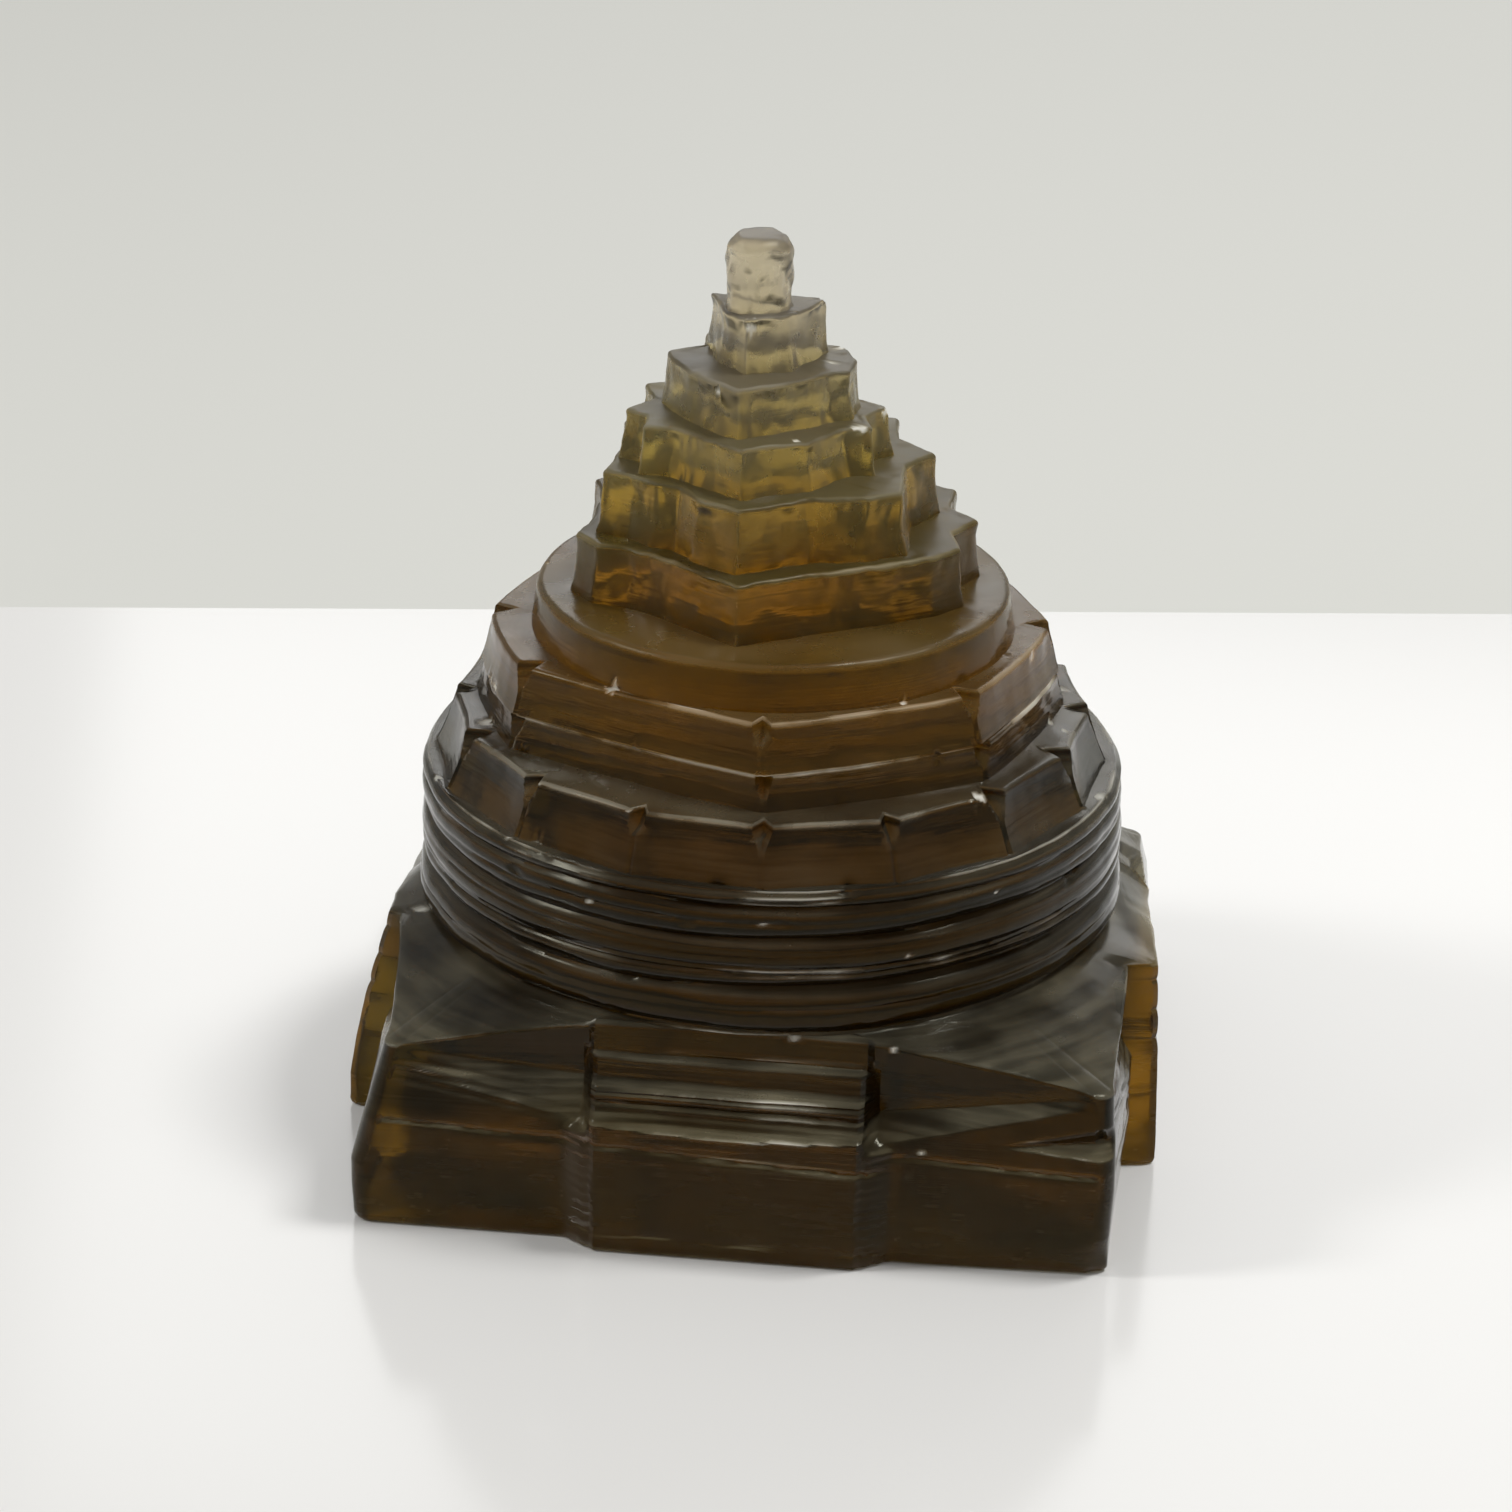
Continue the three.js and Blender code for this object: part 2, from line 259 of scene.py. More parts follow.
# Rows of the plinth: rings on the sole as shares of it, then the foot, the wall and the blunt edge as shares
# of the height, the foot and the edge with how far they are pulled in
SOLE_SHARES = (0.25, 0.5, 0.75)
FOOT_ROWS = ((0.0, FOOT_CHAMFER), (0.006, 0.25), (0.025, 0.0))
WALL_ROWS = (0.05, 0.98, 104)
EDGE_ROWS = ((0.99, 0.12), (1.0, 0.5))


def smooth(a, b, v):
    t = np.clip((v - a) / (b - a), 0, 1)
    return t * t * (3 - 2 * t)


def cusp(distance, width):
    """A groove with a sharp bottom and soft shoulders, 1 deep in its middle."""
    return np.exp(-np.abs(distance) / width)


# Plinth
def side_stations():
    """Distance along one side of every column from left to right, leaving out the corner arc."""
    wing = np.linspace(CORNER - HALF, -GATE_HALF, WING_COLUMNS)
    jamb = np.array([0.04, 0.35, GATE_BEVEL]) - GATE_HALF
    half = np.concatenate([wing, jamb])
    gate_columns = SIDE_COLUMNS - CORNER_COLUMNS - 2 * len(half)
    middle = np.linspace(half[-1], -half[-1], gate_columns + 2)[1:-1]
    return np.concatenate([half, middle, -half[::-1]])


STATIONS = side_stations()


def backward(side, u):
    """How far a place on a side gate lies behind the axis."""
    return u if side == RIGHT else -u


def face(side, u, z):
    """How far the plain face of a side stands out at distance u along it and level z."""
    rise = np.clip((z - BAND) / (PLINTH_TOP - BAND), 0, None)
    if side == LEFT:
        wall = LEFT_WALL
        lean = np.clip(wall["lean_per_mm"] * u + wall["lean_at_middle"], wall["least"], wall["most"])
        swell = wall["swell"] * smooth(0, wall["swell_level"], z)
        return HALF + swell - lean * np.clip((z - wall["level"]) / wall["height"], 0, None)
    if side == RIGHT:
        wall = RIGHT_WALL
        lean = np.clip(wall["lean_per_mm"] * u, wall["least"], wall["most"])
        lean = lean + wall["far_lean"] * smooth(*wall["far"], u)
        swell = wall["swell"] * smooth(0, wall["swell_level"], z) * smooth(*wall["swell_ends"], np.abs(u))
        return HALF + swell - lean * rise
    return HALF - LEAN * rise + np.zeros_like(u)


def scoop_depth(u, z):
    """The wheel cuts beside the gates: a hollow wall above a short lip, tapering out to the corners."""
    end = HALF - SCOOP_STOP
    along = np.clip((end - np.abs(u)) / (end - GATE_HALF), 0, 1)
    roof = PLINTH_TOP + SCOOP_ROOF - SCOOP_ROOF_FALL * (1 - along)
    depth = np.zeros_like(u + z)
    for hand, (level, rise, deep, lip) in SCOOPS.items():
        floor = level + rise * (1 - along)
        above = np.clip(1 - (z - floor) / np.maximum(roof - floor, 1), 0, 1) ** SCOOP_TAPER
        below = np.clip(1 - (floor - z) / (lip * (LIP_LEFT + (1 - LIP_LEFT) * along)), 0, 1)
        cut = deep * along ** SCOOP_TAPER * np.where(z > floor, above, below)
        depth = np.where(np.sign(u) == hand, cut, depth)
    return np.where(np.abs(u) > GATE_HALF, depth, 0)


def corner_cut(side, u, z):
    """Wheel marks at the right end of the front and back."""
    if side not in (FRONT, BACK):
        return np.zeros_like(u)
    along = np.clip((u - VEE["start"]) / VEE["length"], 0, 1)
    off = (z - VEE["level"] - VEE["climb"] * along) / (VEE["narrow"] + VEE["widen"] * along)
    vee = VEE["depth"] * along * np.clip(1 - np.abs(off), 0, None)
    foot = FOOT_FACET["depth"] * np.clip(FOOT_FACET["slope"] * (u - FOOT_FACET["start"]) - z, 0, None)
    return vee + foot


def crease(side, u, z):
    """Thin lines that the wheel left on the walls."""
    line = BAND - BAND_LINE["below"] + BAND_LINE["sway"] * np.sin(u * BAND_LINE["rate"] + side)
    marks = BAND_LINE["depth"] * cusp(z - line, BAND_LINE["width"])
    for level, depth in SLANTED_LINES:
        away = z - level - SLANT["slope"] * (-u - GATE_HALF) - SLANT["sway"] * np.sin(u * SLANT["rate"])
        marks = marks + np.where(u < 0, depth * cusp(away, SLANT["width"]), 0)
    return marks * smooth(GATE_HALF, GATE_HALF + LINE_FADE, np.abs(u))


def side_gate_out(side, u, z):
    """Side view of a side gate: one soft curve with faint steps."""
    t = np.clip((z - SIDE_BAND) / (PLINTH_TOP - SIDE_BAND), 0, 1)
    steps = sum(depth * cusp(z - level, width) for level, depth, width in SIDE_STEPS)
    turned = RIGHT_GATE_TURN * np.clip(backward(side, u) + GATE_HALF, 0, None) if side == RIGHT else 0
    return HALF + REACH[side] - SIDE_LEAN[side] * (LEAN_BULGE * t * (1 - t) + t * t) - steps - turned


def stepped_gate_out(side, u, z):
    """Side view of a front or back gate: a plain band, then hollow steps, with engraved lines."""
    out = HALF + REACH[side]
    run = (out - HALF + LEAN) / GATE_STEPS
    rise = (PLINTH_TOP - GATE_BAND) / GATE_STEPS
    sag = GATE_SAG * np.cos(u * math.pi / 2 / GATE_HALF) * smooth(*SAG_FADE, z)
    up = np.clip((z + sag - GATE_BAND) / rise, 0, GATE_STEPS - 1e-6)
    step = np.floor(up)
    t = np.clip(up - step, 0, 1)
    cove = np.where(up > 0, out - step * run - run * (1 - (1 - np.sqrt(t)) ** 2), out)
    for level, slope, depth, width in GATE_LINES:
        cove = cove - depth * cusp(z - level - slope * u, width)
    return cove - RIPPLE["depth"] * np.sin(z * RIPPLE["per_level"] + RIPPLE["per_mm"] * u)


def top_level(reach):
    """Level of the plinth's upper face at a distance from the axis."""
    return PLINTH_TOP - FALL * np.clip(reach - FALL_START, 0, None)


def wall_top(side, u):
    """Upper edge of the plinth wall. It falls to the corners, and to the back corners still more."""
    top = top_level(np.hypot(u, HALF - LEAN))
    gate_top = np.full_like(u, PLINTH_TOP)
    if side == BACK:
        top = top - FAR_DROP * smooth(*BACK_DROP, np.abs(u))
    if side in SIDE_LEAN:
        behind = backward(side, u)
        top = top - FAR_DROP * smooth(*SIDE_DROP, behind)
        gate_top = gate_top - GATE_TOP_LOWER - GATE_TOP_FALL * smooth(*GATE_DROP, behind)
    return np.where(np.abs(u) < GATE_EDGE, gate_top, top)


def side_points(side, share, inset):
    """Points of a plinth row along one side, as they would lie on the front."""
    u = STATIONS
    z = share * wall_top(side, u)
    wall = face(side, u, z) - scoop_depth(u, z) - corner_cut(side, u, z) - crease(side, u, z)
    bevel = np.clip(GATE_BEVEL - (GATE_HALF - np.abs(u)), 0, GATE_BEVEL)
    gate_out = side_gate_out if side in SIDE_LEAN else stepped_gate_out
    gate = np.maximum(gate_out(side, u, z) - bevel, HALF - GATE_SEAT)
    flank = SIDE_FLANK if side in SIDE_LEAN else FLANK + FLANK_BELOW * smooth(*FLANK_CHANGE, z)
    beyond = np.abs(u) - GATE_HALF
    blend = smooth(0, 1, beyond / flank)
    out = np.where(gate > wall, gate * (1 - blend) + wall * blend, wall)
    for place in FLANK_LINES:
        line = cusp(beyond - place * flank, FLANK_LINE["width"])
        out = out - FLANK_LINE["depth"] * line * smooth(*FLANK_LINE["fade"], z)
    before = face((side + 3) % 4, np.full_like(z, HALF - CORNER), z) - HALF
    after = face((side + 1) % 4, np.full_like(z, CORNER - HALF), z) - HALF
    wing = np.clip((np.abs(u) - WING_START) / (HALF - CORNER - WING_START), 0, 1)
    across = u + wing * np.where(u > 0, after - inset, inset - before)
    return np.stack([across, inset - out, z], 1)


def corner_points(side, share, inset):
    """Points of a plinth row round the corner after a side, between the two walls that meet there."""
    after = (side + 1) % 4
    end, start = np.array([HALF - CORNER]), np.array([CORNER - HALF])
    edge = np.linspace(wall_top(side, end)[0], wall_top(after, start)[0], CORNER_COLUMNS + 2)[1:-1]
    levels = share * (edge - CORNER_DROP)
    z = np.array([levels.mean()])
    here = face(side, end, z)[0] - inset
    there = face(after, start, z)[0] - inset
    notch = corner_cut(side, np.array([HALF]), z)[0]
    phi = np.arange(1, CORNER_COLUMNS + 1) / (CORNER_COLUMNS + 1) * math.pi / 2
    away = CORNER - notch * VEE_ROUNDING * np.sin(2 * phi)
    across = there - CORNER + away * np.sin(phi)
    back = CORNER - here - away * np.cos(phi) + notch * np.cos(phi) ** 2
    return np.stack([across, back, levels], 1)


def plinth_row(share, inset=0.0):
    """One closed row of the plinth wall at a share of its height, with its foot or top edge pulled in."""
    rows = []
    for side in range(4):
        points = np.concatenate([side_points(side, share, inset), corner_points(side, share, inset)])
        c, s = round(math.cos(side * math.pi / 2)), round(math.sin(side * math.pi / 2))
        rows.append(np.column_stack([points[:, :2] @ np.array([[c, s], [-s, c]]), points[:, 2]]))
    return np.concatenate(rows)


def plinth_top_rows(edge, foot, count=5):
    """Rows from the edge of the plinth to the foot of the rings, over the falling corners."""
    in_gate = np.minimum(np.abs(edge[:, 0]), np.abs(edge[:, 1])) < GATE_TOP_EDGE
    plain_edge = np.where(in_gate, PLINTH_TOP, top_level(np.hypot(edge[:, 0], edge[:, 1])))
    drop = np.clip(plain_edge - edge[:, 2], 0, None)
    rows = []
    for k in range(1, count + 1):
        t = k / (count + 1)
        row = edge * (1 - t) + foot * t
        plain = np.where(in_gate, PLINTH_TOP, top_level(np.hypot(row[:, 0], row[:, 1])))
        row[:, 2] = plain - drop * (1 - t)
        rows.append(row)
    return rows


def column_angles():
    """Angle of every column from the front, taken from the plinth so that the mesh doesn't twist."""
    row = plinth_row(0.2)
    return np.unwrap(np.arctan2(row[:, 0], -row[:, 1]))


ANGLES = column_angles()


# Rings, tiers and bindu
def on_columns(points):
    """A closed outline, given by its points round the axis, with one point for each column."""
    full = 2 * math.pi
    angles = np.arctan2(points[:, 0], -points[:, 1])
    angles = angles - np.floor((angles - ANGLES[0]) / full) * full
    order = np.argsort(angles)
    angles, points = angles[order], points[order]
    spots = np.clip(np.searchsorted(ANGLES, angles), 0, COLUMNS - 1)
    for i in range(1, len(spots)):
        spots[i] = max(spots[i], spots[i - 1] + 1)
    spots = np.concatenate([[spots[-1] - COLUMNS], spots, [spots[0] + COLUMNS]])
    points = np.concatenate([points[-1:], points, points[:1]])
    index = np.arange(COLUMNS)
    return np.stack([np.interp(index, spots, points[:, 0]), np.interp(index, spots, points[:, 1])], 1)


def polar(angle, radius):
    return np.array([radius * math.sin(math.radians(angle)), -radius * math.cos(math.radians(angle))])


def circle(radius, x, y):
    """Level circle with one point on every column."""
    return np.stack([radius * np.sin(ANGLES) + x, -radius * np.cos(ANGLES) + y], 1)


def level_row(xy, z):
    return np.column_stack([xy, np.full(COLUMNS, z)])


def ring_rows():
    """Rings as the wheel left them: soft rounds between grooves whose level and depth waver."""
    phases = rng.uniform(0, 2 * math.pi, (len(RING_GROOVES), 3))
    slow, quick = RINGS["sway"]
    rows = []
    for z in np.linspace(PLINTH_TOP, RING_TOP, RINGS["rows"]):
        radius = RING_RADIUS + RINGS["over"] - RINGS["shrink"] * (z - PLINTH_TOP) + np.zeros(COLUMNS)
        for (level, depth, width), (a, b, c) in zip(RING_GROOVES, phases):
            at = level + slow * np.sin(2 * ANGLES + a) + quick * np.sin(5 * ANGLES + b)
            deep = depth * (1 + RINGS["uneven"] * np.sin(3 * ANGLES + c))
            radius = radius - deep * cusp(z - at, width)
        radius = radius - RINGS["edge"] * smooth(RING_TOP - RINGS["edge_height"], RING_TOP, z)
        rows.append(level_row(circle(radius, *RING_SHIFT), z))
    return rows


def tier_corners(tier, foot):
    """Corners of a tier as (angle, radius), every one a little astray, as hand cutting leaves it."""
    count, kind = tier["count"], tier["kind"]
    stray = rng.normal(0, STRAY_WIDE if foot > WIDE_FOOT else STRAY_NARROW, (count, 4))
    swing = math.degrees(1 / foot)
    front = tier.get("front", ())
    tips = tier.get("tips", [TURN[kind] + 360 / count * k for k in range(count)])
    corners = [(angle, share * foot) for angle, share in front]
    for tip, (tip_turn, tip_out, notch_turn, notch_out) in zip(tips, stray):
        places = [(tip + swing * tip_turn, foot + tip_out)]
        if kind == "corners":
            notch = foot - tier["cut"] * RING_RADIUS
            places.append((tip + 180 / count + swing * notch_turn, notch + notch_out))
        for angle, radius in places:
            angle = (angle + 180) % 360 - 180
            if not front or not front[0][0] - FRONT_MARGIN < angle < front[-1][0] + FRONT_MARGIN:
                corners.append((angle, radius))
    return sorted(corners)


def tier_outline(tier, corners, inset, nick):
    """Outline of a tier at one level: straight or gently bulging facets between soft corners."""
    spots = [polar(angle, radius - inset) for angle, radius in corners]
    bulge = tier.get("bulge", 0.0)
    points = []
    for k, spot in enumerate(spots):
        before, after = spots[k - 1], spots[(k + 1) % len(spots)]
        notch = nick * (1 + SIDE_NICK * float(smooth(*SIDE_PETALS, abs(corners[k][0]))))
        soft = SOFT + SOFT_BY_NICK * notch
        back = spot + (before - spot) / np.linalg.norm(before - spot) * soft
        on = spot + (after - spot) / np.linalg.norm(after - spot) * soft
        middle = (back + on) / 4 + spot / 2
        points += [back, middle * (1 - notch / np.linalg.norm(middle)), on]
        if bulge:
            for t in (0.2, 0.4, 0.6, 0.8):
                between = spot * (1 - t) + after * t
                outward = between / np.linalg.norm(between)
                points.append(between + outward * bulge * math.sin(math.pi * t))
    return on_columns(np.array(points)) + np.array([tier["x"], tier["y"]])


def tier_rows(tier, foot, z0):
    """Rows of one tier: a leaning wall and its blunt upper edge."""
    edge, lean, height = tier["edge"], tier["lean"], tier["rise"]
    corners = tier_corners(tier, foot) if tier["count"] else None
    steps = [(share * (height - edge), lean * share) for share in WALL_SHARES]
    for phi in np.linspace(0, math.pi / 2, 6):
        steps.append((height - edge + edge * math.sin(phi), lean + edge * (1 - math.cos(phi))))
    nick_start, nick_end = (height - down for down in NICK_HEIGHTS)
    rows = []
    for up, inset in steps:
        if corners:
            nick = 0.0
            if tier["kind"] == "lotus":
                nick = NICK + NICK_MORE * float(smooth(nick_start, nick_end, up))
            hollow = WALL_HOLLOW * math.sin(math.pi * min(up / height, 1))
            xy = tier_outline(tier, corners, inset + hollow, nick)
        else:
            xy = circle(foot - inset, tier["x"], tier["y"])
        rows.append(level_row(xy, z0 + up))
    return rows


def ledge_rows(a, b, dish, count=3):
    """Rows across the ledge from the upper edge a to the foot b of the next tier."""
    rows = []
    for k in range(1, count + 1):
        t = k / (count + 1)
        row = a * (1 - t) + b * t
        row[:, 2] -= dish * math.sin(t * math.pi)
        rows.append(row)
    return rows


def bindu_rows(z0, inset=0.2, margin=0.4, crown=0.12):
    """Rows of the bindu: a straight wall, a round shoulder and an almost flat crown."""
    radius, height, soft = BINDU["radius"], BINDU["rise"], BINDU["round"]
    centre = BINDU["x"], BINDU["y"]
    steps = [(0, 0.0)] + [(up, inset) for up in np.linspace(margin, height - soft - margin, 14)]
    for phi in np.arange(9) / 9 * math.pi / 2:
        steps.append((height - soft + soft * math.sin(phi), inset + soft * (1 - math.cos(phi))))
    rows = [level_row(circle(radius - pulled, *centre), z0 + up) for up, pulled in steps]
    for t in (0.75, 0.5, 0.25):
        flat = circle((radius - soft - inset) * t, *centre)
        rows.append(level_row(flat, z0 + height + crown * (1 - t)))
    return rows


# The whole stone
def stone_rows():
    """Every level row of the stone, from the middle of its sole to the top of the bindu."""
    lowest = [plinth_row(share, inset) for share, inset in FOOT_ROWS]
    rows = [lowest[0] * np.array([share, share, 1]) for share in SOLE_SHARES] + lowest
    rows += [plinth_row(share) for share in np.linspace(*WALL_ROWS)]
    rows += [plinth_row(share, inset) for share, inset in EDGE_ROWS]
    rings = ring_rows()
    rows += [*plinth_top_rows(rows[-1], rings[0]), *rings]
    z = RING_TOP
    reach = {"tip": RING_RADIUS - RING_ROUND, "notch": RING_RADIUS - RING_ROUND}
    for tier in TIERS:
        foot = reach[tier["on"]] - tier["ledge"] * RING_RADIUS
        made = tier_rows(tier, foot, z)
        rows += ledge_rows(rows[-1], made[0], LEDGE_DISH)
        rows += made
        reach = {"tip": foot - WALL_INSET, "notch": foot - WALL_INSET - tier["cut"] * RING_RADIUS}
        z += tier["rise"]
    made = bindu_rows(z)
    rows += ledge_rows(rows[-1], made[0], TOP_DISH, 2)
    return rows + made


def chips(points):
    """Small flakes lost from the edges: shallow dents pushed towards the axis, and where they lie."""
    flaked = np.zeros(len(points))
    for k in range(CHIPS):
        turn, level = rng.uniform(0, 2 * math.pi), rng.choice(CHIP_LEVELS)
        size, depth = rng.uniform(*CHIP_SIZE), rng.uniform(*CHIP_DEPTH)
        ring = points[np.abs(points[:, 2] - level) < CHIP_BAND]
        centre = ring[np.argmin(np.abs(np.arctan2(ring[:, 0], -ring[:, 1]) % (2 * math.pi) - turn))]
        away = np.linalg.norm((points - centre) * np.array([1, 1, CHIP_FLATNESS]), axis=1)
        near = np.flatnonzero(away < 2 * size)
        ragged = [noise.noise(Vector(points[i]) * CHIP_RAGGED["rate"]) for i in near]
        away[near] *= 1 + CHIP_RAGGED["share"] * np.array(ragged)
        dent = np.clip(1.6 - 1.6 * (away / size) ** 2, 0, 1)
        inward = -points[:, :2] / np.maximum(np.linalg.norm(points[:, :2], axis=1, keepdims=True), 1)
        points[:, :2] += inward * (depth * dent)[:, None]
        points[:, 2] -= CHIP_DROP * depth * dent
        frosted = k % 2
        flaked = np.maximum(flaked, dent * frosted)
    return points, flaked


def edge_wear_and_highlight(grid, upright=0.55, most=0.8, blunt=0.7, sharp=2.2):
    """Share of wear, and of painted edge highlight, at every point of the mesh, from how sharply the surface
    turns outwards there.
    """
    def turn(before, after, outward):
        back, on = grid - before, after - grid
        long_back = np.linalg.norm(back, axis=2, keepdims=True) + 1e-6
        long_on = np.linalg.norm(on, axis=2, keepdims=True) + 1e-6
        bend = ((on / long_on - back / long_back) * outward).sum(2)
        return -bend / (long_back + long_on)[:, :, 0] * 2

    below = np.concatenate([grid[:1], grid[:-1]])
    above = np.concatenate([grid[1:], grid[-1:]])
    left, right = np.roll(grid, 1, 1), np.roll(grid, -1, 1)
    outward = np.cross(right - left, above - below)
    outward = outward / (np.linalg.norm(outward, axis=2, keepdims=True) + 1e-9)
    turned = np.maximum(turn(below, above, outward), upright * turn(left, right, outward))
    return most * smooth(blunt, sharp, turned)


def polish_waves(points):
    """Slow waviness that hand polishing leaves, rougher on the star tiers. The resting face stays flat."""
    for i, p in enumerate(points):
        if p[2] > FLAT_BELOW:
            rough = sum(height * float(smooth(low, high, p[2])) for low, high, height in ROUGHER)
            waves = WAVES + tuple((rate, height * rough) for rate, height in ROUGH)
            v = Vector()
            for rate, height in waves:
                v = v + noise.noise_vector(Vector(p) * rate) * height
            points[i] += (v.x, v.y, v.z * WAVE_FLATNESS)
    return points


def inside_box(points, margin=0.05):
    """Keeps the polished stone within the solids' own box."""
    low, high = (np.array(v) / MM for v in cad_box)
    low = np.array([low[0] + margin, low[1] + margin, 0])
    return np.clip(points, low, high - margin)


def stone_faces(count):
    """Faces between the rows, and the fans that close the sole and the crown."""
    ring = np.arange(COLUMNS)
    after = (ring + 1) % COLUMNS
    faces = []
    for row in range(count - 1):
        base = row * COLUMNS
        faces.append(np.stack([base + ring, base + after, base + after + COLUMNS, base + ring + COLUMNS], 1))
    last = (count - 1) * COLUMNS
    sole, crown = count * COLUMNS, count * COLUMNS + 1
    fans = [(int(b), int(a), sole) for a, b in zip(ring, after)]
    fans += [(last + int(a), last + int(b), crown) for a, b in zip(ring, after)]
    return np.concatenate(faces).tolist() + fans


def painted_gate_glow(points):
    """Share of painted glow, as of light through thin stone: the side gates stand free of the body, with
    more glow on the right one than on the left.
    """
    standing = smooth(HALF - 0.5, HALF + 2, np.abs(points[:, 0])) * (np.abs(points[:, 1]) < GATE_HALF + 1)
    return standing * np.where(points[:, 0] > 0, 0.9, 0.3)


def build_stone():
    rows = np.array(stone_rows())
    # Wear at sharp edges, also used to paint highlights along them
    wear_and_highlight = edge_wear_and_highlight(rows).reshape(-1)
    points, flaked = chips(rows.reshape(-1, 3))
    points = inside_box(polish_waves(points))
    points = np.concatenate([points, np.zeros((1, 3)), points[-COLUMNS:].mean(0, keepdims=True)])
    mesh = bpy.data.meshes.new("carved_stone")
    mesh.from_pydata((points * MM).tolist(), [], stone_faces(len(rows)))
    # Besides wear and flakes, the points carry the share of painted glow in the side gates.
    for name, values in (("wear_and_highlight", [*wear_and_highlight, 0, 0]), ("flaked", [*flaked, 0, 0]), ("gate_glow", painted_gate_glow(points))):
        layer = mesh.attributes.new(name, "FLOAT", "POINT")
        layer.data.foreach_set("value", values)
    mesh.validate()
    mesh.polygons.foreach_set("use_smooth", [True] * len(mesh.polygons))
    mesh.set_sharp_from_angle(angle=math.radians(35))
    mesh.update()
    stone = bpy.data.objects.new("carved_stone", mesh)
    bpy.context.scene.collection.objects.link(stone)
    return stone


# Materials
class Tree:
    """Node tree of a new material, with a short call for each kind of node."""

    def __init__(self, name):
        self.material = bpy.data.materials.new(name)
        self.material.use_nodes = True
        self.nodes = self.material.node_tree.nodes
        self.links = self.material.node_tree.links
        self.nodes.clear()

    def add(self, kind, inputs, **settings):
        """A new node with its settings, and each input set to a value or linked to an output."""
        node = self.nodes.new(kind)
        for name, value in settings.items():
            setattr(node, name, value)
        for name, value in inputs.items():
            if isinstance(value, bpy.types.NodeSocket):
                self.links.new(value, node.inputs[name])
            else:
                node.inputs[name].default_value = value
        return node

    def texture(self, vector, scale, detail):
        """Noise with a scale per metre."""
        node = self.add("ShaderNodeTexNoise", {"Vector": vector, "Scale": scale, "Detail": detail})
        return node.outputs["Fac"]

    def spread(self, value, low, high, to_low, to_high):
        """The value's range from low to high, turned into another range."""
        ends = {"From Min": low, "From Max": high, "To Min": to_low, "To Max": to_high}
        return self.add("ShaderNodeMapRange", {"Value": value, **ends}).outputs["Result"]

    def combine(self, kind, a, b):
        return self.add("ShaderNodeMath", {0: a, 1: b}, operation=kind, use_clamp=True).outputs["Value"]

    def upward(self, vector):
        """The vector's share along Z."""
        return self.add("ShaderNodeSeparateXYZ", {"Vector": vector}).outputs["Z"]

    def attribute(self, name):
        return self.add("ShaderNodeAttribute", {}, attribute_name=name).outputs["Fac"]

    def cover(self, share, below, above):
        """The colour below, covered with the colour above by a share."""
        return self.add("ShaderNodeMix", {0: share, 6: below, 7: (*above, 1)}, data_type="RGBA").outputs[2]

    def ramp(self, value, stops):
        """A colour, or a grey where the stops have shares, that follows the value through the stops."""
        node = self.add("ShaderNodeValToRGB", {"Fac": value})
        elements = node.color_ramp.elements
        while len(elements) < len(stops):
            elements.new(0.5)
        for element, (place, colour) in zip(elements, stops):
            element.position = place
            element.color = (*(colour if isinstance(colour, tuple) else (colour,) * 3), 1)
        return node.outputs["Color"]

    def bump(self, height, strength, distance, below=None):
        inputs = {"Height": height, "Strength": strength, "Distance": distance}
        if below:
            inputs["Normal"] = below
        return self.add("ShaderNodeBump", inputs).outputs["Normal"]

    def finish(self, outputs):
        self.add("ShaderNodeOutputMaterial", outputs)
        return self.material


# Tint of the surface by height: brown foot, smoky rings, amber middle, pale tip
TINTS = (
    (0.00, (0.36, 0.30, 0.12)), (0.13, (0.28, 0.23, 0.10)), (0.17, (0.05, 0.05, 0.03)),
    (0.26, (0.025, 0.034, 0.026)), (0.40, (0.04, 0.046, 0.032)), (0.45, (0.11, 0.09, 0.06)),
    (0.52, (0.62, 0.36, 0.09)), (0.57, (0.95, 0.47, 0.06)), (0.68, (0.70, 0.52, 0.12)),
    (0.78, (0.70, 0.60, 0.27)), (0.84, (0.70, 0.61, 0.38)), (0.90, (0.80, 0.71, 0.56)),
    (0.96, (0.90, 0.83, 0.74)),
)
# Paler amber painted on the side gates as a glow of light passing through them
GATE_GLOW_TINT = (0.80, 0.55, 0.14)
# Near black painted as shade on faces that look down
UNDERSIDE_SHADE_TINT = (0.012, 0.009, 0.006)
# Dark brown painted as shade on the upper tiers' ledges
LEDGE_SHADE_TINT = (0.14, 0.10, 0.04)
# Pale colour of dust, also painted as a sheen on faces that look up
DUST_AND_SHEEN_COLOUR = (0.54, 0.48, 0.32)
# White of frosted flakes and worn edges, also painted as highlights along the edges
FROST_AND_HIGHLIGHT_COLOUR = (0.86, 0.84, 0.76)

# Cloudiness of the stone, and how much the dust and painted sheen hide it, by height
CLOUDINESS = ((0.44, 0.0), (0.54, 0.02), (0.6, 0.03), (0.67, 0.05), (0.8, 0.15), (0.92, 0.15))
DUSTINESS = ((0.0, 0.36), (0.2, 0.38), (0.255, 0.24), (0.28, 0.13), (0.6, 0.1), (0.67, 0.04), (1.0, 0.03))

# Noises as scale per metre and detail. The wheel's marks are drawn out level. Clouds shift the tints by this
# many metres.
CLOUDS = (34, 3)
PATCHES = (60, 4)
GRAIN = (210, 4)
MARKS = (1, 2)
MARKS_STRETCH = (45, 45, 1500)
CLOUD_SHIFT = 0.022
STREAKS_FROM_PATCHES = 0.6
STREAKS_FROM_MARKS = 0.4

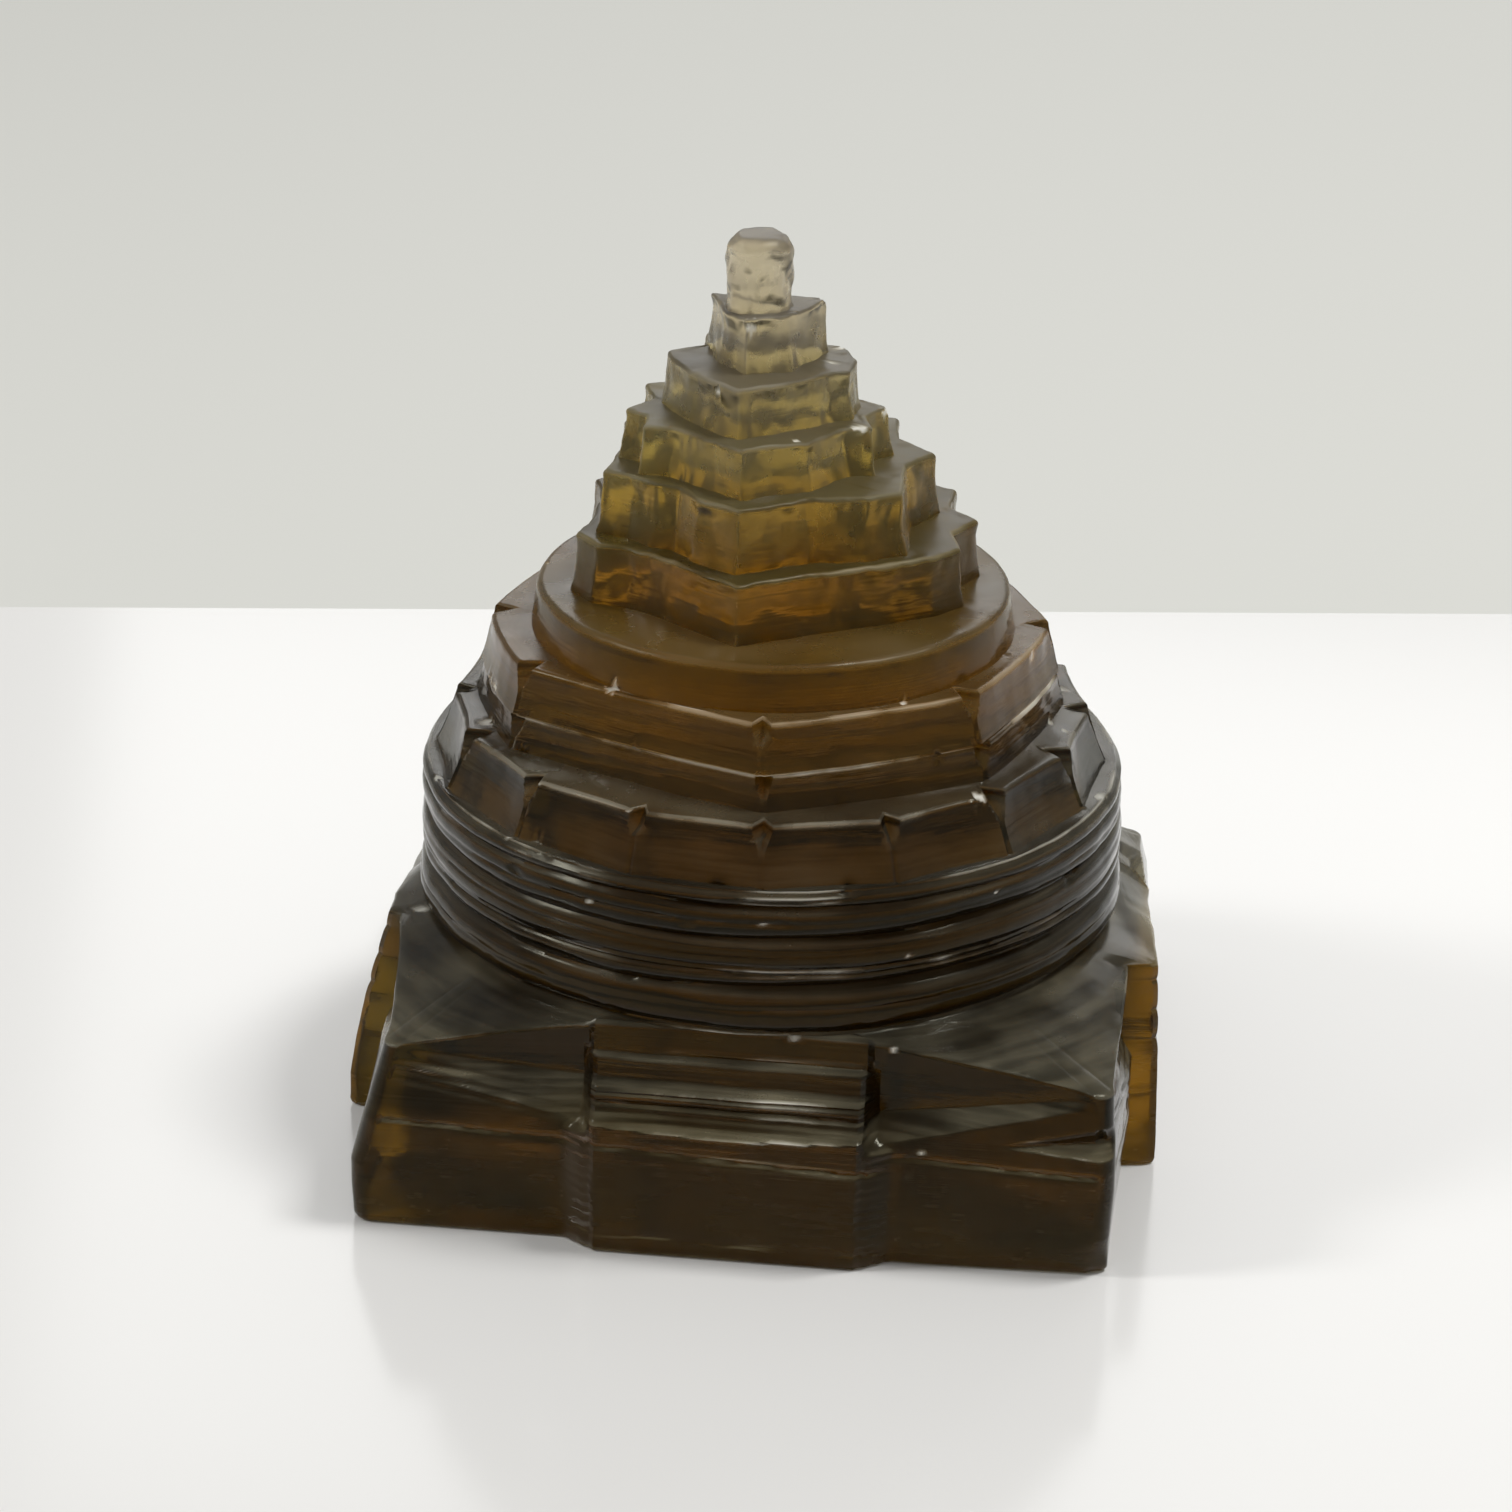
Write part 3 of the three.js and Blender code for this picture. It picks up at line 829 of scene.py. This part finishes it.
# Ranges, each turned into another: low, high, what low becomes, what high becomes. First by the height in
# metres, then by how much the surface faces up, then by a noise.
FOOT_TO_TIP = (0.011, 0.141, 0, 1)
SHADED_UNDERSIDES_FROM = (0.015, 0.019, 0, 1)
SHADED_LEDGES_FROM = (0.078, 0.09, 0, 0.38)
LESS_COATED_FROM = (0.06, 0.09, 0.7, 0.2)
LESS_WORN_AND_HIGHLIGHTED_FROM = (0.075, 0.1, 1, 0.35)
HAZIER_FROM = (0.06, 0.1, 0, 0.17)
FACES_UP = (0.16, 0.5, 0, 1)
FACES_DOWN = (-0.03, -0.17, 0, 0.9)
DUST_AND_SHEEN_STREAKS = (0.36, 0.62, 0.25, 1)
WORN_AND_HIGHLIGHTED_PATCHES = (0.46, 0.58, 0, 1)
GRAIN_HAZE = (0.3, 0.7, 0.06, 0.16)

# How much of the light goes through plain stone and through hidden stone, what dust with painted sheen and
# frost with painted edge highlights do to that and to the haze, and the strength and depth in metres of the
# bumps
LETS_THROUGH = (0.985, 0)
FROST_COVERS = 0.9
FROST_HIDES = 0.7
FROST_HAZE = 0.2
DUST_HAZE = 0.16
GRAIN_BUMP = (0.3, 0.0002)
MARKS_BUMP = (0.35, 0.00012)


class Crystal(Tree):
    """Clear stone tinted by height, with dust and painted sheen on its ledges, frost on its flakes and on
    worn edges, which also carry painted highlights, painted shade under overhangs and on the upper ledges,
    and a painted glow in the side gates.
    """

    def __init__(self, name):
        super().__init__(name)
        coordinates = self.add("ShaderNodeTexCoord", {})
        spot = coordinates.outputs["Object"]
        self.z = self.upward(spot)
        self.up = self.upward(coordinates.outputs["Normal"])
        self.patch = self.texture(spot, *PATCHES)
        self.grain = self.texture(spot, *GRAIN)
        stretch = self.add("ShaderNodeMapping", {"Vector": spot, "Scale": MARKS_STRETCH})
        self.marks = self.texture(stretch.outputs["Vector"], *MARKS)
        cloud = {0: self.texture(spot, *CLOUDS), 1: CLOUD_SHIFT, 2: self.z}
        drift = self.add("ShaderNodeMath", cloud, operation="MULTIPLY_ADD").outputs["Value"]
        self.height = self.spread(drift, *FOOT_TO_TIP)
        self.level = self.spread(self.up, *FACES_UP)
        self.dust_and_sheen = self.dust_and_sheen_share()
        self.frost_and_highlight = self.frost_and_highlight_share()

    def times(self, a, b):
        return self.combine("MULTIPLY", a, b)

    def plus(self, a, b):
        return self.combine("ADD", a, b)

    def dust_and_sheen_share(self):
        """Dust gathers in streaks on what faces up, and the same share paints a lighter sheen there."""
        streaks = self.plus(self.times(self.patch, STREAKS_FROM_PATCHES),
                            self.times(self.marks, STREAKS_FROM_MARKS))
        return self.times(self.level, self.spread(streaks, *DUST_AND_SHEEN_STREAKS))

    def frost_and_highlight_share(self):
        """Frost lies on flakes and, in patches, on worn edges, where it also paints highlights along the
        edges.
        """
        worn_and_highlighted = self.times(self.attribute("wear_and_highlight"), self.spread(self.patch, *WORN_AND_HIGHLIGHTED_PATCHES))
        worn_and_highlighted = self.times(worn_and_highlighted, self.spread(self.z, *LESS_WORN_AND_HIGHLIGHTED_FROM))
        return self.combine("MAXIMUM", worn_and_highlighted, self.attribute("flaked"))

    def colour(self):
        """Tint of the stone, with a painted glow in the side gates, painted shade under overhangs and on the
        upper ledges, covered with dust and painted sheen, and with frost and painted edge highlights.
        """
        # The side gates are painted paler, as a glow of light through them.
        tint = self.cover(self.attribute("gate_glow"), self.ramp(self.height, TINTS), GATE_GLOW_TINT)
        # Faces that look down are painted dark, as shade under overhangs.
        hollow = self.times(self.spread(self.up, *FACES_DOWN), self.spread(self.z, *SHADED_UNDERSIDES_FROM))
        tint = self.cover(hollow, tint, UNDERSIDE_SHADE_TINT)
        # Faces that look up on the upper tiers are painted darker, as shade on the ledges.
        tint = self.cover(self.times(self.level, self.spread(self.z, *SHADED_LEDGES_FROM)), tint, LEDGE_SHADE_TINT)
        # Dust covers what faces up, and paints it lighter as a sheen.
        dust_and_sheen_covered = self.cover(self.times(self.dust_and_sheen, self.spread(self.z, *LESS_COATED_FROM)), tint, DUST_AND_SHEEN_COLOUR)
        # Frost covers flakes and worn edges, and paints highlights along the edges.
        return self.cover(self.times(self.frost_and_highlight, FROST_COVERS), dust_and_sheen_covered, FROST_AND_HIGHLIGHT_COLOUR)

    def clearness(self):
        """Dust with its painted sheen, cloudiness, and frost with its painted edge highlights all let less
        light through.
        """
        hidden = self.times(self.dust_and_sheen, self.ramp(self.height, DUSTINESS))
        hidden = self.plus(hidden, self.ramp(self.height, CLOUDINESS))
        hidden = self.plus(hidden, self.times(self.frost_and_highlight, FROST_HIDES))
        return self.spread(hidden, 0, 1, *LETS_THROUGH)

    def haze(self):
        """The polish is duller towards the tip, in dust and in frost."""
        haze = self.plus(self.spread(self.grain, *GRAIN_HAZE), self.spread(self.z, *HAZIER_FROM))
        haze = self.plus(haze, self.times(self.dust_and_sheen, DUST_HAZE))
        return self.plus(haze, self.times(self.frost_and_highlight, FROST_HAZE))


def crystal():
    tree = Crystal("smoky_crystal")
    surface = tree.add("ShaderNodeBsdfPrincipled", {
        "Base Color": tree.colour(),
        "Transmission Weight": tree.clearness(),
        "Roughness": tree.haze(),
        "Normal": tree.bump(tree.marks, *MARKS_BUMP, tree.bump(tree.grain, *GRAIN_BUMP)),
        "IOR": 1.544,
        "Specular IOR Level": 0.2,
        "Specular Tint": (0.29, 0.285, 0.22, 1),
    })
    depth = tree.add("ShaderNodeVolumeAbsorption", {"Color": (0.73, 0.61, 0.1, 1), "Density": 60.0})
    return tree.finish({"Surface": surface.outputs["BSDF"], "Volume": depth.outputs["Volume"]})


def plain(name, colour, roughness):
    tree = Tree(name)
    surface = tree.add("ShaderNodeBsdfPrincipled", {"Base Color": (*colour, 1), "Roughness": roughness})
    return tree.finish({"Surface": surface.outputs["BSDF"]})


stone = build_stone()
stone.data.materials.append(crystal())
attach(stone, "root")
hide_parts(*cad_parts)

# Floor in two pale tones that meet behind the stone, in metres. The far one stands for the wall. A thin gap
# under the stone lets its sole work as glass.
SEAM = Vector((-0.0275, 0.1845))
SEAM_TURN = math.radians(9.1)
FLOOR_REACH = 4.0
AIR_GAP = 0.0001


def stage_half(name, sign, material):
    along = Vector((math.cos(SEAM_TURN), math.sin(SEAM_TURN))) * FLOOR_REACH
    away = Vector((-math.sin(SEAM_TURN), math.cos(SEAM_TURN))) * FLOOR_REACH * sign
    corners = [SEAM - along, SEAM + along, SEAM + along + away, SEAM - along + away]
    order = (0, 1, 2, 3) if sign > 0 else (3, 2, 1, 0)
    mesh = bpy.data.meshes.new(name)
    mesh.from_pydata([(*corner, -AIR_GAP) for corner in corners], [], [order])
    plane = bpy.data.objects.new(name, mesh)
    bpy.context.scene.collection.objects.link(plane)
    plane.data.materials.append(material)


stage_half("floor", -1, plain("floor_white", (0.84, 0.83, 0.81), 0.16))
stage_half("far_floor", 1, plain("far_white", (0.68, 0.68, 0.64), 0.8))


def add_camera():
    """Camera fitted to the photograph, with the base taken as 104 mm wide."""
    focal, frame_width = 4500.0, 1512
    pitch, roll, yaw = math.radians(23.396), math.radians(1.2), math.radians(6.558)
    shift = Vector((2.1118, 47.113, 661.98))
    right, forward = Vector((1, 0, 0)), Vector((0, math.cos(pitch), -math.sin(pitch)))
    down = Vector((0, -math.sin(pitch), -math.cos(pitch)))
    axes = Matrix((math.cos(roll) * right - math.sin(roll) * down,
                   math.sin(roll) * right + math.cos(roll) * down, forward))
    axes = axes @ Matrix(((math.cos(yaw), math.sin(yaw), 0), (-math.sin(yaw), math.cos(yaw), 0), (0, 0, 1)))
    data = bpy.data.cameras.new("camera")
    data.sensor_width = 36
    data.lens = focal * data.sensor_width / frame_width
    data.clip_start, data.clip_end = 0.01, 50
    camera = bpy.data.objects.new("camera", data)
    bpy.context.scene.collection.objects.link(camera)
    pose = Matrix((axes[0], -axes[1], -axes[2])).transposed().to_4x4()
    pose.translation = -(axes.transposed() @ shift) * MM
    camera.matrix_world = pose
    bpy.context.scene.camera = camera


add_camera()

# Light, in metres and watts
LIGHT_TARGET = Vector((0, 0, 0.05))
WORLD_COLOUR = (1, 1, 0.98)
WORLD_STRENGTH = 0.36


def area(name, place, size, power):
    data = bpy.data.lights.new(name, "AREA")
    data.shape = "RECTANGLE"
    data.size, data.size_y = size
    data.energy = power
    light = bpy.data.objects.new(name, data)
    light.location = place
    light.rotation_euler = (LIGHT_TARGET - Vector(place)).to_track_quat("-Z", "Y").to_euler()
    bpy.context.scene.collection.objects.link(light)


area("key", (0.6, 0.1, 1.3), (0.3, 0.35), 10)
area("fill", (-1.0, -0.3, 0.9), (0.2, 0.35), 5)
area("back", (0.1, 1.3, 0.7), (1.2, 0.5), 3)

world = bpy.data.worlds.new("studio")
world.use_nodes = True
sky = world.node_tree.nodes["Background"]
sky.inputs["Color"].default_value = (*WORLD_COLOUR, 1)
sky.inputs["Strength"].default_value = WORLD_STRENGTH
bpy.context.scene.world = world

# Light has to pass through many faces of the stone.
scene = bpy.context.scene
scene.view_settings.view_transform = "Standard"
scene.cycles.max_bounces = 24
scene.cycles.transmission_bounces = 24
scene.cycles.glossy_bounces = 12
